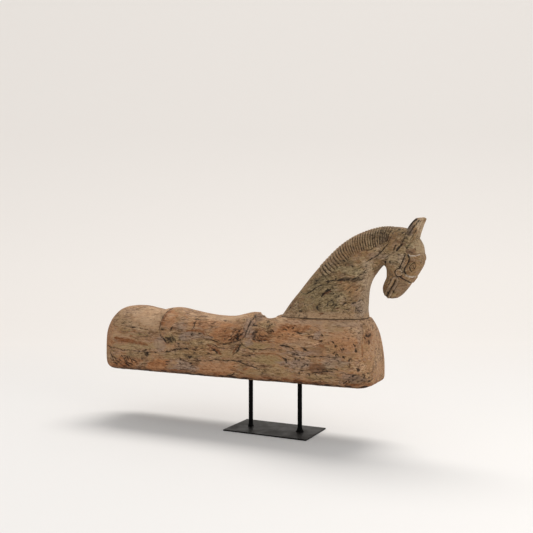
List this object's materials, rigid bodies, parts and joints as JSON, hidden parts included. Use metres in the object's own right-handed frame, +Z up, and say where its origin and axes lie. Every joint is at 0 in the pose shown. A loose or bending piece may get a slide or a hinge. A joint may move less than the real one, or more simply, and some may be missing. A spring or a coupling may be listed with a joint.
{
  "type": "wooden horse sculpture on a stand",
  "caption": "Carved wooden horse with a long block body, saddle cloth, grooved mane and bridle, held above a flat steel plate by round rods.",
  "frame": {"origin": "middle of the stand plate's underside", "axes": "+Z up, +X towards the horse's head, +Y towards the horse's left flank"},
  "size_m": [0.7734, 0.1525, 0.4655],
  "materials": {
    "trunk_wood": "old, dry, unpolished, with cracks, worm holes and stains",
    "neck_wood": "old, dry, olive brown, with dark stains",
    "stand_steel": "near black, matte"
  },
  "bodies": {
    "root": {"horse_trunk": "trunk_wood", "horse_neck_and_head": "neck_wood", "stand_plate": "stand_steel", "stand_rod_rear": "stand_steel", "stand_rod_front": "stand_steel"}
  },
  "joints": []
}
